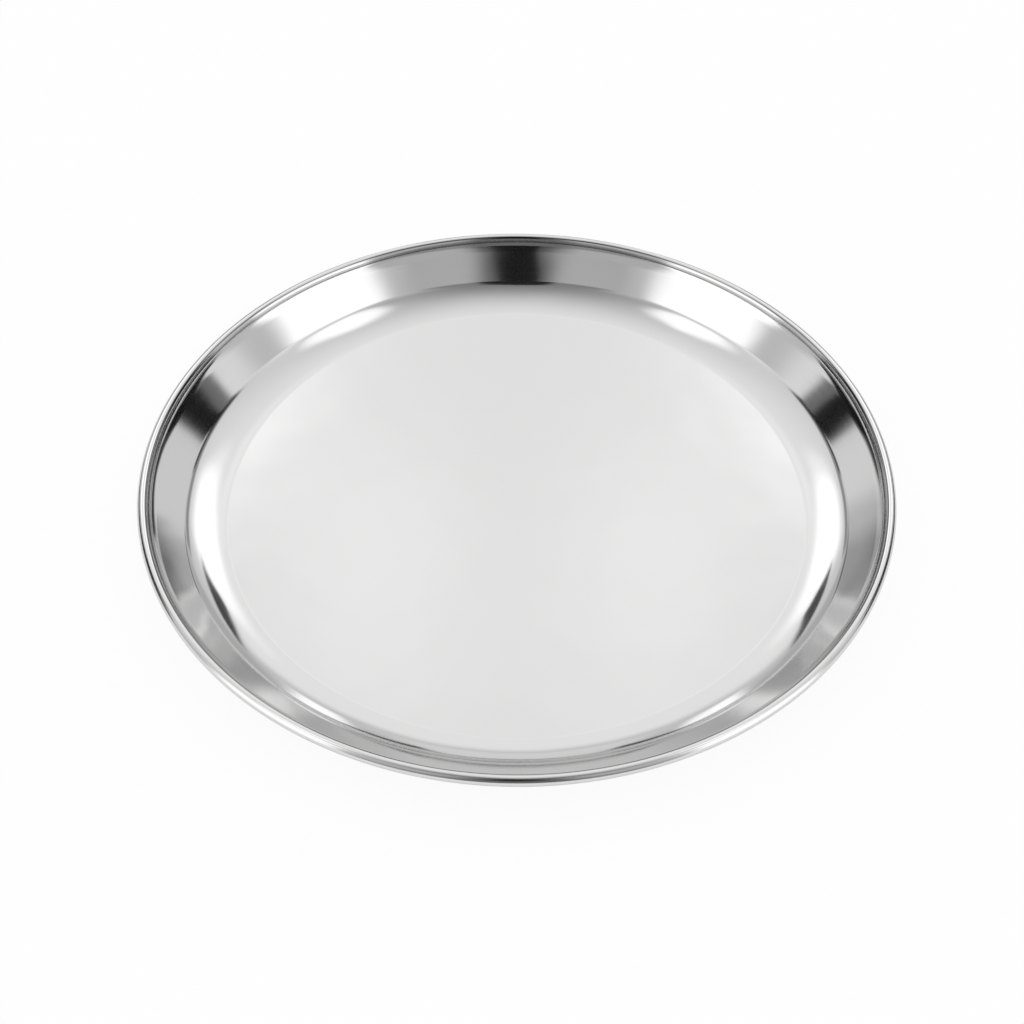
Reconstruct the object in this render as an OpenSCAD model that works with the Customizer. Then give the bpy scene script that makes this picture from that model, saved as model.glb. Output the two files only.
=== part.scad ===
// Round serving plate pressed from one sheet, its rim rolled over a hidden wire ring.
// The origin is the middle of the underside; +Z is up; sizes are in millimetres.

/* [Plate] */
// Outside diameter over the rolled rim
rim_d = 305; // [240:1:360]
// Overall height from the table to the top of the rim
plate_h = 20.8; // [18:0.1:28]
// Thickness of the pressed sheet
sheet_t = 0.7; // [0.5:0.05:0.9]
// Slope of the straight wall above the table
wall_angle = 39; // [36:1:46]

/* [Corner] */
// Inside radius of the first bend, at the edge of the flat base
base_bend_r = 8; // [5:1:20]
// Slope at which the first bend hands over to the broad curve
base_bend_angle = 8; // [4:1:12]
// Inside radius of the broad curve that rises towards the wall
broad_corner_r = 39; // [30:1:48]
// Inside radius of the tight bend at the foot of the wall
tight_corner_r = 7; // [5:0.5:14]
// Slope at which the broad curve hands over to the tight bend
corner_turn_angle = 31; // [27:1:34]

/* [Rim] */
// Outside diameter of the rolled bead
bead_d = 4.4; // [4:0.1:5.4]
// Inside radius of the hollow that turns the wall up into the bead
lip_hollow_r = 5; // [3:0.5:7]
// Slope where the hollow hands over to the bead
lip_angle = 80; // [74:1:84]
// Angle of the slit that the curl leaves open on its inner underside
curl_open_angle = 55; // [50:1:80]

/* [Wire] */
// Radial clearance between the wire and the curl around it
wire_clearance = 0.02; // [0.01:0.01:0.1]
// Gap left where the two ends of the wire meet
wire_end_gap = 1; // [0.5:0.5:4]

/* [Hidden] */
$fn = 240;
bead_r = bead_d / 2;
bead_centre_r = rim_d / 2 - bead_r;
bead_centre_z = plate_h - bead_r;

// Height and width that each curve takes up along the upper face of the sheet
function curve_rise(radius, from_slope, to_slope) = radius * (cos(from_slope) - cos(to_slope));
function curve_run(radius, from_slope, to_slope) = radius * (sin(to_slope) - sin(from_slope));
base_bend_rise = curve_rise(base_bend_r, 0, base_bend_angle);
base_bend_run = curve_run(base_bend_r, 0, base_bend_angle);
broad_rise = curve_rise(broad_corner_r, base_bend_angle, corner_turn_angle);
broad_run = curve_run(broad_corner_r, base_bend_angle, corner_turn_angle);
tight_rise = curve_rise(tight_corner_r, corner_turn_angle, wall_angle);
tight_run = curve_run(tight_corner_r, corner_turn_angle, wall_angle);
hollow_rise = curve_rise(lip_hollow_r, wall_angle, lip_angle);
hollow_run = curve_run(lip_hollow_r, wall_angle, lip_angle);
bead_rise = curve_rise(bead_r, 0, lip_angle);
bead_run = curve_run(bead_r, 0, lip_angle);
corner_rise = base_bend_rise + broad_rise + tight_rise;
corner_run = base_bend_run + broad_run + tight_run;

// The straight wall takes the height that the curves leave, the flat base the width
wall_rise = plate_h - sheet_t - corner_rise - hollow_rise - bead_rise;
wall_length = wall_rise / sin(wall_angle);
wall_run = wall_length * cos(wall_angle);
flat_r = bead_centre_r - bead_run - hollow_run - wall_run - corner_run;

// The wire fills the curl, short of the clearance
wire_r = bead_r - sheet_t - wire_clearance;
wire_gap_angle = wire_end_gap / bead_centre_r * 180 / PI;

// Cutting shapes reach this many radii out, clear of the circle they cut
cut_reach_share = 2;
// The section is drawn this many times smaller and enlarged once its stretches have merged
draw_scale = 100;
function drawn(length) = length / draw_scale;
drawn_t = drawn(sheet_t);

// The section is a chain of stretches. Each one starts at the origin with its upper face
// on the X axis, and its children carry on from its far end.

// Straight stretch of the sheet
module straight(length) {
    translate([0, -drawn_t])
        square([drawn(length), drawn_t]);
    translate([drawn(length), 0])
        children();
}

// Everything on one side of the Y axis, as far as the reach
module half_plane(reach, to_the_right) {
    translate([to_the_right ? 0 : -reach, -reach])
        square([reach, 2 * reach]);
}

// Stretch that bends upward through an angle, around a centre above the sheet
module bend_up(radius, bend_angle) {
    inside_r = drawn(radius);
    outside_r = inside_r + drawn_t;
    reach = cut_reach_share * outside_r;
    translate([0, inside_r]) {
        intersection() {
            difference() {
                circle(r = outside_r);
                circle(r = inside_r);
            }
            half_plane(reach, true);
            rotate(bend_angle)
                half_plane(reach, false);
        }
        rotate(bend_angle)
            translate([0, -inside_r])
                children();
    }
}

// Last stretch, rolled outward and under around the wire until only the slit is left
module curl_over(radius, open_angle) {
    outside_r = drawn(radius);
    reach = cut_reach_share * outside_r;
    translate([0, -outside_r])
        difference() {
            circle(r = outside_r);
            circle(r = outside_r - drawn_t);
            intersection() {
                half_plane(reach, false);
                rotate(open_angle)
                    half_plane(reach, true);
            }
        }
}

// Half section of the whole sheet from the middle of the base to the end of the curl
module sheet_section() {
    scale(draw_scale)
        translate([0, drawn_t])
            straight(flat_r)
                bend_up(base_bend_r, base_bend_angle)
                    bend_up(broad_corner_r, corner_turn_angle - base_bend_angle)
                        bend_up(tight_corner_r, wall_angle - corner_turn_angle)
                            straight(wall_length)
                                bend_up(lip_hollow_r, lip_angle - wall_angle)
                                    curl_over(bead_r, curl_open_angle);
}

// Pressed sheet: base, corner, wall and rolled rim in one piece
module pressed_plate() {
    color("silver")
        rotate_extrude()
            sheet_section();
}

// Wire ring that stiffens the rolled rim, cut and bent round until its ends nearly meet
module rim_wire() {
    color("gray")
        translate([0, 0, bead_centre_z])
            rotate_extrude(angle = 360 - wire_gap_angle)
                translate([bead_centre_r, 0])
                    circle(r = wire_r);
}

pressed_plate();
rim_wire();
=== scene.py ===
"""Looks of the steel thali plate: the pressed sheet as one finely spun mesh, in a white photo studio."""
import math

import bpy
import numpy as np
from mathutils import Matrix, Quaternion, Vector


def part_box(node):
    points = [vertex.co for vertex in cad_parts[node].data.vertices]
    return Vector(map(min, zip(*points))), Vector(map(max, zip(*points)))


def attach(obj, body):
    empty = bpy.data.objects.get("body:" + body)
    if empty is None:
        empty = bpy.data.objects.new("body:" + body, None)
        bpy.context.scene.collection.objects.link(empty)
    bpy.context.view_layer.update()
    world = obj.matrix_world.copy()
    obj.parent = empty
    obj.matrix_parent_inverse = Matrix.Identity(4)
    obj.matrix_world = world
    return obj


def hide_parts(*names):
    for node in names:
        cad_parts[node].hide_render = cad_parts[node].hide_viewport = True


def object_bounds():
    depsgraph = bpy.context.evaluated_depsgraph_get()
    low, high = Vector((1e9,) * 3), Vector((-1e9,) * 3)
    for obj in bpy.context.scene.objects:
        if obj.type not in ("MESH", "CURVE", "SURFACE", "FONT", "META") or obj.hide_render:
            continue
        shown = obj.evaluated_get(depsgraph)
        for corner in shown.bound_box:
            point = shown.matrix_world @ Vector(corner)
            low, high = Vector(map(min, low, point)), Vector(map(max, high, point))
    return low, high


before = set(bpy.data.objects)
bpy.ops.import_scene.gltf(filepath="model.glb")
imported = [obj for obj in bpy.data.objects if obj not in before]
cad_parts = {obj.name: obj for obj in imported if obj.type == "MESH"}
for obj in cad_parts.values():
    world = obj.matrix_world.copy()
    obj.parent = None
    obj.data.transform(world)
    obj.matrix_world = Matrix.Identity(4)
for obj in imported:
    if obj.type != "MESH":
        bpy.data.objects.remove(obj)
cad_low, cad_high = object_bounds()

# Sizes of the sheet, in metres and degrees. They follow the solid, within a tenth of a millimetre: the
# bends at the foot and the head of the wall are eased in, as they are on a pressed sheet.
SHEET_T = 0.0007
WALL_ANGLE = 39.0
BASE_BEND_R = 0.008
BASE_BEND_ANGLE = 8.0
BROAD_CORNER_R = 0.039
CORNER_TURN_ANGLE = 29.5
TIGHT_CORNER_R = 0.017
LIP_EASE_R = 0.022
LIP_EASE_ANGLE = 45.0
LIP_HOLLOW_R = 0.0046
LIP_ANGLE = 80.0
BEAD_R = 0.0022
CURL_OPEN_ANGLE = 55.0

# How finely the sheet is spun
TURN_STEPS = 360
DEGREES_PER_STEP = 1.5
BEAD_DEGREES_PER_STEP = 5.0
FLAT_RINGS = 8
WALL_RINGS = 6

# The photograph's width and focal length in pixels, the sensor's width in millimetres, and the place of
# the camera that sees the plate as the photograph does, in metres and degrees
PHOTO_WIDTH = 1024
FOCAL_LENGTH = 2048
SENSOR_WIDTH = 36.0
CAMERA_DISTANCE = 0.825
CAMERA_ELEVATION = 46.96
CAMERA_ROLL = 0.28
CAMERA_AIM = Vector((-0.0019, -0.0134, 0.0116))

# Polish of the sheet. Marks run around the plate, so many to the metre across and to the radian along;
# clouds are faint wear, and waves are a slight unevenness of the metal. A range is the part of the noise
# that is spread over the roughness.
MARKS_ACROSS = 2600.0
MARKS_ALONG = 3.0
MARKS = {"Scale": 1.0, "Detail": 3.0, "Roughness": 0.6}
MARKS_RANGE = (0.3, 0.7)
MARKS_ROUGHNESS = (0.065, 0.090)
MARKS_BUMP = {"Strength": 0.008, "Distance": 0.0002}
CLOUDS = {"Scale": 28.0, "Detail": 4.0, "Roughness": 0.55}
CLOUDS_RANGE = (0.35, 0.65)
CLOUDS_ROUGHNESS = (0.0, 0.015)
WAVES = {"Scale": 34.0, "Detail": 1.0, "Roughness": 0.4}
WAVES_BUMP = {"Strength": 1.0, "Distance": 0.0002}

# Painted shade: fine dark lines painted into the colour around the inside of the bead, where the hollow
# lies in shade: radius, half width and the share of shine left in them, on the upper side only
PAINTED_SHADE_LINES = ((0.1491, 0.00042, 0.15), (0.14803, 0.00016, 0.45))
PAINTED_SHADE_ABOVE = 0.0176

# The outer side of the bead is a little scuffed, more and more between these two radii
RIM_WEAR = (0.1506, 0.1513)
RIM_WEAR_ROUGHNESS = (0.0, 0.07)

# Drawn lines along the wire, given as the marks are
WIRE_LINES_ACROSS = 9000.0
WIRE_LINES_ALONG = 2.0
WIRE_LINES = {"Scale": 1.0, "Detail": 2.0}
WIRE_LINES_RANGE = (0.3, 0.7)
WIRE_ROUGHNESS = (0.26, 0.42)
WIRE_BUMP = {"Strength": 0.2, "Distance": 0.0001}

# Colours, and the floor's glow as a share of what the camera or the metal sees of it
STEEL_COLOUR = (0.770, 0.770, 0.768)
STEEL_EDGE_COLOUR = (0.86, 0.86, 0.86, 1.0)
WIRE_COLOUR = (0.62, 0.62, 0.61, 1.0)
FLOOR_COLOUR = (0.90, 0.90, 0.90, 1.0)
WHITE = (1.0, 1.0, 1.0, 1.0)
FLOOR_GLOW_SHARE = 0.92
MIRRORED_GLOW_SHARE = 0.3

# Stage, in metres and degrees. FOOT is the elevation of the dome's lower edge. Levels of light are 1 for
# white. What is less than NEARLY_BESIDE of the way ahead counts as beside a panel.
FLOOR_R = 8.0
FLOOR_GAP = 0.0002
STUDIO_R = 5.0
FOOT = -3.0
DOME_STEP = 0.25
DOME_TURNS = round(360.0 / DOME_STEP)
DOME_RISES = round((90.0 - FOOT) / DOME_STEP) + 1
ROOM_LEVEL = 1.0
BLACK = 0.012
NEARLY_BESIDE = 0.02


# Section of the sheet

def slope_normal(slope):
    """Unit vector (radius, height) square to a slope in degrees, on its upper side."""
    angle = math.radians(slope)
    return -math.sin(angle), math.cos(angle)


def curve(start, radius, from_slope, to_slope, step):
    """Points (radius, height, slope) of an arc that goes on from start; a negative radius bends down."""
    side = slope_normal(from_slope)
    centre = (start[0] + radius * side[0], start[1] + radius * side[1])
    count = max(1, round(abs(to_slope - from_slope) / step))
    points = []
    for k in range(1, count + 1):
        slope = from_slope + (to_slope - from_slope) * k / count
        side = slope_normal(slope)
        points.append((centre[0] - radius * side[0], centre[1] - radius * side[1], slope))
    return points


def line(start, length, slope, count):
    """Points of a straight stretch that goes on from start."""
    angle = math.radians(slope)
    points = []
    for k in range(1, count + 1):
        along = length * k / count
        points.append((start[0] + along * math.cos(angle), start[1] + along * math.sin(angle), slope))
    return points


def end_of(points):
    """Radius and height of the last point."""
    return points[-1][0], points[-1][1]


def corner(start):
    """The three bends that lead from the flat base up into the wall."""
    points = curve(start, BASE_BEND_R, 0.0, BASE_BEND_ANGLE, DEGREES_PER_STEP)
    points += curve(end_of(points), BROAD_CORNER_R, BASE_BEND_ANGLE, CORNER_TURN_ANGLE, DEGREES_PER_STEP)
    points += curve(end_of(points), TIGHT_CORNER_R, CORNER_TURN_ANGLE, WALL_ANGLE, DEGREES_PER_STEP)
    return points


def lip(start):
    """The two bends that lead from the wall up to the bead."""
    points = curve(start, LIP_EASE_R, WALL_ANGLE, LIP_EASE_ANGLE, DEGREES_PER_STEP)
    points += curve(end_of(points), LIP_HOLLOW_R, LIP_EASE_ANGLE, LIP_ANGLE, DEGREES_PER_STEP)
    return points


def upper_face():
    """Upper face of the sheet, from the middle of the base to the end of the curl."""
    plate_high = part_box("pressed_plate")[1]
    origin = (0.0, 0.0)
    corner_run, corner_rise = end_of(corner(origin))
    lip_run, lip_rise = end_of(lip(origin))
    bead_side = slope_normal(LIP_ANGLE)
    wall_top_r = plate_high.x - BEAD_R + BEAD_R * bead_side[0] - lip_run
    wall_top_z = plate_high.z - BEAD_R + BEAD_R * bead_side[1] - lip_rise
    wall_length = (wall_top_z - SHEET_T - corner_rise) / math.sin(math.radians(WALL_ANGLE))
    flat_r = wall_top_r - wall_length * math.cos(math.radians(WALL_ANGLE)) - corner_run
    points = line((0.0, SHEET_T), flat_r, 0.0, FLAT_RINGS)
    points += corner(end_of(points))
    points += line(end_of(points), wall_length, WALL_ANGLE, WALL_RINGS)
    points += lip(end_of(points))
    curl_end = LIP_ANGLE - 360.0 + CURL_OPEN_ANGLE
    points += curve(end_of(points), -BEAD_R, LIP_ANGLE, curl_end, BEAD_DEGREES_PER_STEP)
    return points


def lower_face(points):
    """Lower face of the sheet, one thickness below the upper one, back from the curl to the middle."""
    below = []
    for radius, height, slope in reversed(points):
        side = slope_normal(slope)
        below.append((radius - SHEET_T * side[0], height - SHEET_T * side[1], slope + 180.0))
    return below


def turn_ways():
    """Unit vectors (x, y) around the plate's axis, one for each step of a full turn."""
    turns = [2 * math.pi * k / TURN_STEPS for k in range(TURN_STEPS)]
    return [(math.cos(turn), math.sin(turn)) for turn in turns]


def spin_mesh(name, rings):
    """Closed mesh of rings (radius, height, slope) spun about Z, with the section's exact normals."""
    ways = turn_ways()
    middle = [(0.0, 0.0, SHEET_T), (0.0, 0.0, 0.0)]
    top, bottom = range(len(middle))
    places = list(middle)
    for radius, height, _ in rings:
        places += [(radius * x, radius * y, height) for x, y in ways]
    sides = [slope_normal(slope) for _, _, slope in rings]
    last = len(rings) - 1
    cut_edge = last // 2
    cut_side = slope_normal(rings[cut_edge][2] - 90.0)
    faces = []
    normals = []

    def point(ring, k):
        return len(middle) + ring * TURN_STEPS + k % TURN_STEPS

    def normal(side, k):
        x, y = ways[k % TURN_STEPS]
        return side[0] * x, side[0] * y, side[1]

    for k in range(TURN_STEPS):
        faces.append((top, point(0, k), point(0, k + 1)))
        normals += [(0.0, 0.0, 1.0)] * 3
        faces.append((bottom, point(last, k + 1), point(last, k)))
        normals += [(0.0, 0.0, -1.0)] * 3
    for ring in range(last):
        near, far = sides[ring], sides[ring + 1]
        if ring == cut_edge:
            near = far = cut_side
        for k in range(TURN_STEPS):
            after = k + 1
            faces.append((point(ring, k), point(ring + 1, k), point(ring + 1, after), point(ring, after)))
            normals += [normal(near, k), normal(far, k), normal(far, after), normal(near, after)]
    mesh = bpy.data.meshes.new(name)
    mesh.from_pydata(places, [], faces)
    mesh.polygons.foreach_set("use_smooth", [True] * len(mesh.polygons))
    mesh.normals_split_custom_set(normals)
    mesh.update()
    return mesh


# Materials

def empty_tree(owner):
    """Node tree of a material or world, with nothing in it."""
    owner.use_nodes = True
    tree = owner.node_tree
    tree.nodes.clear()
    return tree


def node(tree, kind, operation=None, **settings):
    """New node. Settings are values or sockets for its inputs, which go by name, with underscores for
    spaces, or by number, as i0, i1 and so on."""
    made = tree.nodes.new(kind)
    if operation:
        made.operation = operation
    for key, value in settings.items():
        by_number = key[1:].isdigit()
        socket = made.inputs[int(key[1:])] if by_number else made.inputs[key.replace("_", " ")]
        if isinstance(value, bpy.types.NodeSocket):
            tree.links.new(value, socket)
        else:
            socket.default_value = value
    return made


def math_node(tree, operation, *values):
    """Output of a Math node on the given values or sockets."""
    made = node(tree, "ShaderNodeMath", operation, **{f"i{k}": value for k, value in enumerate(values)})
    return made.outputs[0]


def spread(tree, value, given, wanted):
    """Output of a Map Range node, from one (low, high) range to another."""
    made = node(tree, "ShaderNodeMapRange", Value=value, From_Min=given[0], From_Max=given[1],
                To_Min=wanted[0], To_Max=wanted[1])
    return made.outputs[0]


def noise(tree, place, settings):
    """Output of a Noise Texture node."""
    return node(tree, "ShaderNodeTexNoise", Vector=place, **settings).outputs["Fac"]


def bumps(tree, height, settings, **below):
    """Output of a Bump node; below may give the Normal that it adds to."""
    return node(tree, "ShaderNodeBump", Height=height, **settings, **below).outputs[0]


def round_place(tree):
    """Radius, turn and height of the shaded point on the plate."""
    place = node(tree, "ShaderNodeTexCoord").outputs["Object"]
    x, y, z = node(tree, "ShaderNodeSeparateXYZ", i0=place).outputs
    square = math_node(tree, "ADD", math_node(tree, "MULTIPLY", x, x), math_node(tree, "MULTIPLY", y, y))
    return math_node(tree, "SQRT", square), math_node(tree, "ARCTAN2", y, x), z


def ring_place(tree, across, along):
    """Vector for textures drawn out around the plate: across in marks per metre, along per radian."""
    radius, turn, z = round_place(tree)
    made = node(tree, "ShaderNodeCombineXYZ", i0=math_node(tree, "MULTIPLY", radius, across),
                i1=math_node(tree, "MULTIPLY", turn, along), i2=math_node(tree, "MULTIPLY", z, across))
    return made.outputs[0]


def shine_left_by_painted_shade(tree):
    """1 over the sheet, and less along the fine dark lines of painted shade inside the bead."""
    radius, _, z = round_place(tree)
    shine = math_node(tree, "LESS_THAN", z, PAINTED_SHADE_ABOVE)
    lines = []
    for line_r, half_width, line_shine in PAINTED_SHADE_LINES:
        away = math_node(tree, "ABSOLUTE", math_node(tree, "SUBTRACT", radius, line_r))
        lines.append(spread(tree, away, (0.0, half_width), (line_shine, 1.0)))
    return math_node(tree, "MAXIMUM", shine, math_node(tree, "MINIMUM", *lines))


def polished_steel():
    """Mirror-polished sheet: circular polish marks, faint cloudy wear, slight waves and dark rim lines of
    painted shade.
    """
    material = bpy.data.materials.new("polished_steel")
    tree = empty_tree(material)
    place = node(tree, "ShaderNodeTexCoord").outputs["Object"]
    marks = noise(tree, ring_place(tree, MARKS_ACROSS, MARKS_ALONG), MARKS)
    clouds = noise(tree, place, CLOUDS)
    waves = noise(tree, place, WAVES)
    marks_rough = spread(tree, marks, MARKS_RANGE, MARKS_ROUGHNESS)
    clouds_rough = spread(tree, clouds, CLOUDS_RANGE, CLOUDS_ROUGHNESS)
    wear_rough = spread(tree, round_place(tree)[0], RIM_WEAR, RIM_WEAR_ROUGHNESS)
    roughness = math_node(tree, "ADD", math_node(tree, "ADD", marks_rough, clouds_rough), wear_rough)
    normal = bumps(tree, marks, MARKS_BUMP, Normal=bumps(tree, waves, WAVES_BUMP))
    # Painted shade: the colour is darkened along fine lines in the hollow inside the bead.
    colour = node(tree, "ShaderNodeVectorMath", "SCALE", i0=STEEL_COLOUR, Scale=shine_left_by_painted_shade(tree))
    shader = node(tree, "ShaderNodeBsdfPrincipled", Base_Color=colour.outputs[0], Metallic=1.0,
                  Specular_Tint=STEEL_EDGE_COLOUR, Roughness=roughness, Normal=normal)
    node(tree, "ShaderNodeOutputMaterial", Surface=shader.outputs[0])
    return material


def drawn_wire():
    """Plain drawn wire: fine lines along its length, duller than the sheet."""
    material = bpy.data.materials.new("wire_steel")
    tree = empty_tree(material)
    lines = noise(tree, ring_place(tree, WIRE_LINES_ACROSS, WIRE_LINES_ALONG), WIRE_LINES)
    roughness = spread(tree, lines, WIRE_LINES_RANGE, WIRE_ROUGHNESS)
    shader = node(tree, "ShaderNodeBsdfPrincipled", Base_Color=WIRE_COLOUR, Metallic=1.0,
                  Roughness=roughness, Normal=bumps(tree, lines, WIRE_BUMP))
    node(tree, "ShaderNodeOutputMaterial", Surface=shader.outputs[0])
    return material


def floor_white():
    """White floor that keeps a soft shadow. Part of what is seen is the floor's own even glow, and less of
    it in the metal's mirror, so that the rim shows the shade under it. From below it is clear, so that the
    plate's underside can be looked at."""
    material = bpy.data.materials.new("floor_white")
    tree = empty_tree(material)
    path = node(tree, "ShaderNodeLightPath").outputs
    mirrored = math_node(tree, "MAXIMUM", path["Is Glossy Ray"], path["Is Transmission Ray"])
    mirrored_share = math_node(tree, "MULTIPLY", mirrored, MIRRORED_GLOW_SHARE)
    seen_share = math_node(tree, "MULTIPLY", path["Is Camera Ray"], FLOOR_GLOW_SHARE)
    share = math_node(tree, "MAXIMUM", seen_share, mirrored_share)
    matt = node(tree, "ShaderNodeBsdfDiffuse", Color=FLOOR_COLOUR)
    glow = node(tree, "ShaderNodeEmission", Color=WHITE, Strength=1.0)
    mixed = node(tree, "ShaderNodeMixShader", i0=share, i1=matt.outputs[0], i2=glow.outputs[0])
    below = node(tree, "ShaderNodeNewGeometry").outputs["Backfacing"]
    clear = node(tree, "ShaderNodeBsdfTransparent")
    shown = node(tree, "ShaderNodeMixShader", i0=below, i1=mixed.outputs[0], i2=clear.outputs[0])
    node(tree, "ShaderNodeOutputMaterial", Surface=shown.outputs[0])
    return material


def dome_light():
    """The studio's dome: every part of it glows at its own level."""
    material = bpy.data.materials.new("dome_light")
    tree = empty_tree(material)
    level = node(tree, "ShaderNodeAttribute")
    level.attribute_name = "level"
    glow = node(tree, "ShaderNodeEmission", Color=WHITE, Strength=level.outputs["Fac"])
    node(tree, "ShaderNodeOutputMaterial", Surface=glow.outputs[0])
    material.cycles.emission_sampling = "NONE"
    return material


# Pieces

def new_object(name, mesh, material):
    """Object in the scene with one material."""
    made = bpy.data.objects.new(name, mesh)
    bpy.context.scene.collection.objects.link(made)
    made.data.materials.append(material)
    return made


def make_plate():
    """The pressed sheet: base, corner, wall and rolled rim in one piece."""
    upper = upper_face()
    mesh = spin_mesh("spun_plate", upper + lower_face(upper))
    plate = new_object("spun_plate", mesh, polished_steel())
    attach(plate, "root")
    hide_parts("pressed_plate")


def dress_wire():
    """The wire keeps its CAD shape and gets its own steel."""
    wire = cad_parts["rim_wire"]
    wire.data.materials.clear()
    wire.data.materials.append(drawn_wire())


# Studio

def make_floor():
    """Round floor just under the plate."""
    floor_z = cad_low.z - FLOOR_GAP
    places = [(FLOOR_R * x, FLOOR_R * y, floor_z) for x, y in turn_ways()]
    mesh = bpy.data.meshes.new("floor")
    mesh.from_pydata(places, [], [tuple(range(TURN_STEPS))])
    floor = new_object("floor", mesh, floor_white())


def make_world():
    """White all round."""
    world = bpy.data.worlds.new("studio")
    bpy.context.scene.world = world
    tree = empty_tree(world)
    background = node(tree, "ShaderNodeBackground", Color=WHITE, Strength=1.0)
    node(tree, "ShaderNodeOutputWorld", Surface=background.outputs[0])


def smooth_step(share):
    """0 to 1 with soft ends."""
    share = np.clip(share, 0.0, 1.0)
    return share * share * (3 - 2 * share)


class Dome:
    """Directions from the dome's foot to its top, and the light level in each."""

    def __init__(self):
        turns = np.linspace(0.0, 2 * math.pi, DOME_TURNS, endpoint=False)
        rises = np.linspace(math.radians(FOOT), math.pi / 2, DOME_RISES)
        turn, rise = np.meshgrid(turns, rises)
        reach = np.cos(rise)
        self.ways = np.stack([reach * np.cos(turn), reach * np.sin(turn), np.sin(rise)], axis=-1)
        self.level = np.full(turn.shape, ROOM_LEVEL)

    def paint(self, cover, level):
        """Takes the level over as far as the cover goes."""
        self.level = self.level + (level - self.level) * cover

    def mesh(self, name):
        """The dome as quads between neighbouring points, each point with its level."""
        spots = np.arange(DOME_RISES * DOME_TURNS).reshape(DOME_RISES, DOME_TURNS)
        after = np.roll(spots, -1, axis=1)
        quads = np.stack([spots[:-1], spots[1:], after[1:], after[:-1]], axis=-1).reshape(-1, 4)
        made = bpy.data.meshes.new(name)
        made.vertices.add(spots.size)
        made.vertices.foreach_set("co", (self.ways * STUDIO_R).ravel())
        made.loops.add(quads.size)
        made.loops.foreach_set("vertex_index", quads.ravel())
        made.polygons.add(len(quads))
        made.polygons.foreach_set("loop_start", np.arange(0, quads.size, 4))
        made.update(calc_edges=True)
        made.attributes.new("level", "FLOAT", "POINT").data.foreach_set("value", self.level.ravel())
        return made


def way_to(azimuth, elevation):
    """Unit vector towards a point of the dome; degrees, azimuth from +X towards +Y."""
    turn, rise = math.radians(azimuth), math.radians(elevation)
    return np.array((math.cos(rise) * math.cos(turn), math.cos(rise) * math.sin(turn), math.sin(rise)))


def wash(dome, azimuth, elevation, width, height, level, soft=(1.0, 1.0)):
    """Broad soft panel. Sizes in degrees; soft is the share of each half size over which it fades."""
    out = way_to(azimuth, elevation)
    turn = math.radians(azimuth)
    across = np.array((-math.sin(turn), math.cos(turn), 0.0))
    up = np.cross(out, across)
    depth = dome.ways @ out
    ahead = np.maximum(depth, NEARLY_BESIDE)
    x = np.abs(dome.ways @ across) / ahead / math.tan(math.radians(width / 2))
    y = np.abs(dome.ways @ up) / ahead / math.tan(math.radians(height / 2))
    cover = smooth_step((1 - x) / soft[0]) * smooth_step((1 - y) / soft[1])
    dome.paint(np.where(depth > NEARLY_BESIDE, cover, 0.0), level)


def card(dome, corners, level, soft):
    """Card with straight sides between corners (azimuth, elevation), in order around it. It covers what
    lies within all of its sides, and its edges fade over soft degrees."""
    points = [way_to(*place) for place in corners]
    middle = sum(points)
    cover = np.where(dome.ways @ middle > 0.0, 1.0, 0.0)
    for start, end in zip(points, points[1:] + points[:1]):
        side = np.cross(start, end)
        side = side / np.linalg.norm(side)
        side = side * math.copysign(1.0, side @ middle)
        degrees_within = np.degrees(np.arcsin(np.clip(dome.ways @ side, -1, 1)))
        cover = cover * smooth_step(degrees_within / soft + 0.5)
    dome.paint(cover, level)


def wash_pair(dome, azimuth, elevation, width, height, level):
    """The same soft panel on the right and, mirrored, on the left."""
    wash(dome, azimuth, elevation, width, height, level)
    wash(dome, 180.0 - azimuth, elevation, width, height, level)


def card_pair(dome, corners, level, soft):
    """The same card on the right and, mirrored, on the left."""
    card(dome, corners, level, soft)
    card(dome, [(180.0 - azimuth, elevation) for azimuth, elevation in corners], level, soft)


# Panels of the studio, which the steel mirrors

def put_up_tent(dome):
    """Grey tent, and the large soft box over the back of it that the flat base mirrors. The four washes
    began as a fit to the photograph's levels, and were then rounded and changed."""
    wash(dome, 90, 28, 150, 115, 0.40, (0.3, 0.65))
    wash(dome, 90, 90, 92, 110, 0.20)
    wash(dome, 270, 14, 110, 105, 0.0)
    wash(dome, 90, 50, 132, 104, 0.94)
    wash_pair(dome, 83, 47, 13, 24, 1.06)


def put_up_front(dome):
    """Dark ceiling over the camera, with grey cards under it."""
    card(dome, [(225, 59), (315, 59), (312, 73), (270, 80), (228, 73)], 0.26, 4)
    card(dome, [(251, 59), (289, 59), (290, 77), (270, 81), (250, 77)], 0.015, 2)
    card_pair(dome, [(279, FOOT), (330, FOOT), (326, 59), (300, 65), (279, 67.5)], 0.50, 5)
    card_pair(dome, [(272, 30), (286, 30), (286, 65), (275, 67.5)], 0.10, 8)
    card_pair(dome, [(276, FOOT), (312, FOOT), (300, 28), (278, 36)], 0.30, 12)


def put_up_boxes(dome):
    """Grey card at each side, a white box beside it, and another bent over above that."""
    card_pair(dome, [(-11, FOOT), (19, FOOT), (22, 38), (11.5, 46), (-2, 50)], 0.60, 3)
    card_pair(dome, [(8, FOOT), (24, FOOT), (27, 40), (14, 46)], 0.86, 9)
    card_pair(dome, [(-48, FOOT), (-13, FOOT), (2.5, 46), (4.5, 51), (-18, 59), (-33.5, 59), (-45.5, 22)],
              1.34, 6)
    card_pair(dome, [(-12, 62), (10, 58), (27, 61), (46, 69), (25, 74), (2, 72.5)], 1.32, 5)


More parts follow.
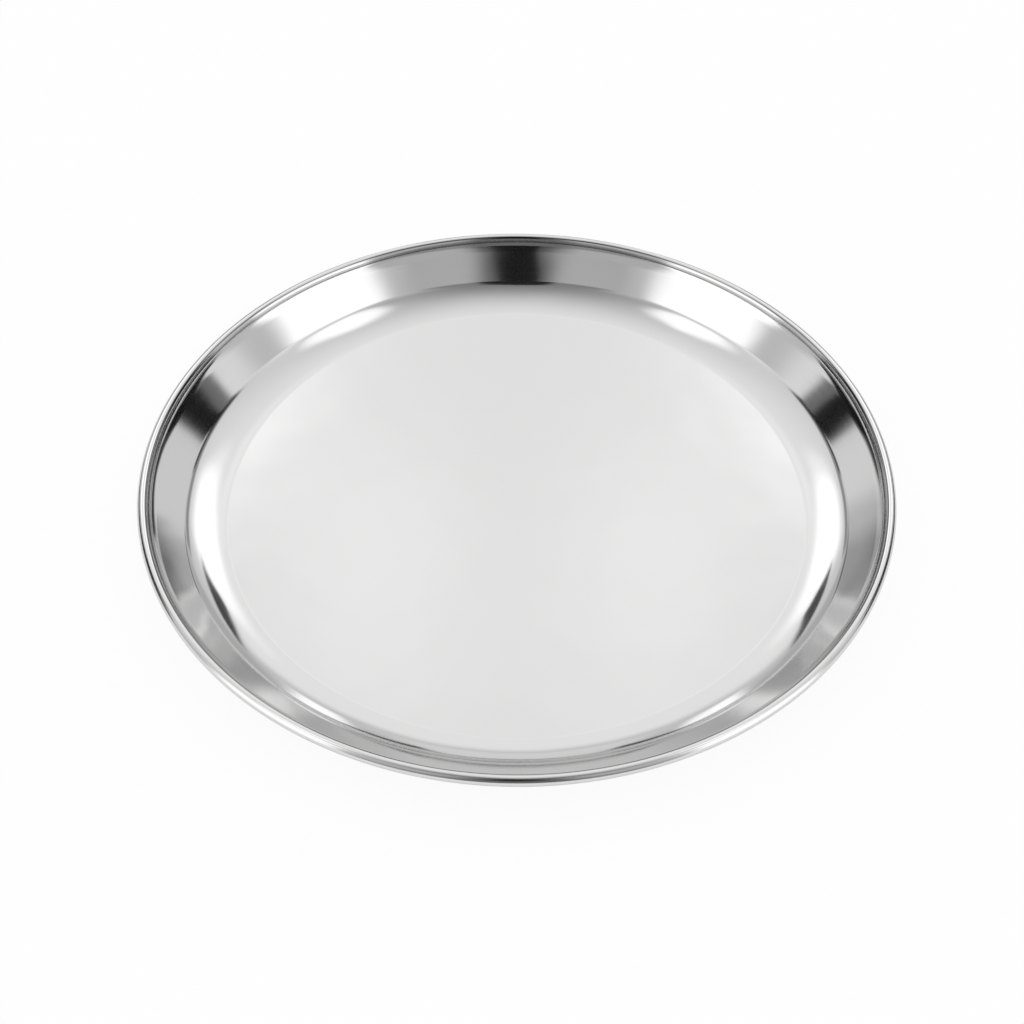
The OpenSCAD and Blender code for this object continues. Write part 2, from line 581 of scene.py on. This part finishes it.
def put_up_flags(dome):
    """Black flag at each side with its grey edge, and the dark slot that runs on from it."""
    card_pair(dome, [(21.5, 40), (57, 15.5), (61, 19), (26, 45)], 0.32, 2)
    card_pair(dome, [(20.5, 30), (28, 32), (30, 38.5), (22, 38.5)], 0.17, 2)
    card_pair(dome, [(23, 38.5), (43, 24.5), (44, 29), (26, 43)], 0.06, 1.5)
    card_pair(dome, [(4, FOOT), (27, FOOT), (27, 16), (8, 16)], 0.20, 4)
    card_pair(dome, [(8, 14), (30, 14), (28, 29), (25, 31.5), (12, 25.5)], BLACK, 1.5)
    card_pair(dome, [(25, FOOT), (39, FOOT), (35, 28), (34, 33.5), (28, 38.5), (26, 34.5), (24.5, 29)],
              BLACK, 2)
    card_pair(dome, [(20, FOOT), (41, FOOT), (40, 8), (21, 8)], 0.30, 4)


def put_up_side_cards(dome):
    """Light grey cards at each side, with black below them; the right and the left side differ a little."""
    card_pair(dome, [(36, FOOT), (58, FOOT), (56, 9), (34, 26)], 0.05, 1)
    card_pair(dome, [(58, FOOT), (78, FOOT), (76, 13.5), (67, 18.5), (58, 14.5)], 0.50, 3)
    card(dome, [(52, 11), (66, 2), (68, 5), (55, 16)], 0.56, 3)
    card(dome, [(55, 8.5), (56, 12.5), (47.5, 21.5), (34.5, 30.5), (34.5, 25), (39, 17.5), (46, 12)],
         0.74, 2.5)
    card(dome, [(112, FOOT), (138, FOOT), (133, 21), (124, 15), (113, 5)], 0.40, 7)
    card(dome, [(111, 0), (119.5, 7.9), (127, 14.3), (133, 19.5), (129, 18), (117.5, 10)], 0.10, 2.5)
    card(dome, [(125, 4), (124.5, 13.5), (132, 20), (135, 12)], 0.60, 5)
    card(dome, [(132.5, 11), (131, 19.5), (145.5, 30.5), (145.5, 25), (141, 17.5)], 0.80, 6)
    card(dome, [(68.5, 0), (60.1, 7.65), (57.2, 10.6), (54, 13.7), (54.6, 14.3), (61.3, 8.6), (69.4, 1)],
         0.03, 0.4)


def put_up_back(dome):
    """Pale card low at the back, and a white box at each side of it with a slit and a narrow box below."""
    card(dome, [(73, 20), (107, 20), (108, 43), (72, 43)], 0.96, 9)
    card_pair(dome, [(51, 37), (63, 25.5), (67, 27), (77.5, 30), (82, 40), (73, 47), (59, 46)], 1.42, 8)
    card_pair(dome, [(65.5, 28.5), (74.5, 15.5), (74.5, 29.5)], 0.06, 1.2)
    card_pair(dome, [(79, 5), (83.5, 5), (82.5, 15), (80, 15)], 1.35, 2)
    card(dome, [(85, FOOT), (95, FOOT), (95, 16), (85, 16)], 0.80, 4)
    card_pair(dome, [(80.5, FOOT), (87.5, FOOT), (86.5, 7.5), (83, 5)], 0.03, 0.8)


def put_up_gap(dome):
    """Black gap behind the camera, grey low down."""
    card(dome, [(262, FOOT), (278, FOOT), (278.5, 68.5), (261.5, 68.5)], BLACK, 1.5)
    card(dome, [(255, FOOT), (285, FOOT), (284, 36), (256, 36)], 0.16, 8)


def make_studio():
    """Dome that only the metal's mirror sees. A later panel covers an earlier one, and the camera stands at
    azimuth 270. The cards were drawn by what each place on the plate mirrors in the photograph."""
    dome = Dome()
    put_up_tent(dome)
    put_up_front(dome)
    put_up_boxes(dome)
    put_up_flags(dome)
    put_up_side_cards(dome)
    put_up_back(dome)
    put_up_gap(dome)
    made = new_object("studio_dome", dome.mesh("studio_dome"), dome_light())
    made.visible_camera = False
    made.visible_diffuse = False
    made.visible_shadow = False


def make_camera():
    """Camera where the photograph was taken from, with no shift."""
    data = bpy.data.cameras.new("camera")
    camera = bpy.data.objects.new("camera", data)
    bpy.context.scene.collection.objects.link(camera)
    rise = math.radians(CAMERA_ELEVATION)
    back = Vector((0.0, -math.cos(rise), math.sin(rise)))
    camera.location = CAMERA_AIM + back * CAMERA_DISTANCE
    camera.rotation_mode = "QUATERNION"
    level = (-back).to_track_quat("-Z", "Y")
    camera.rotation_quaternion = level @ Quaternion((0.0, 0.0, 1.0), math.radians(CAMERA_ROLL))
    data.sensor_width = SENSOR_WIDTH
    data.lens = SENSOR_WIDTH * FOCAL_LENGTH / PHOTO_WIDTH
    bpy.context.scene.camera = camera


make_camera()
make_plate()
dress_wire()
make_floor()
make_world()
make_studio()
bpy.context.scene.view_settings.view_transform = "Standard"
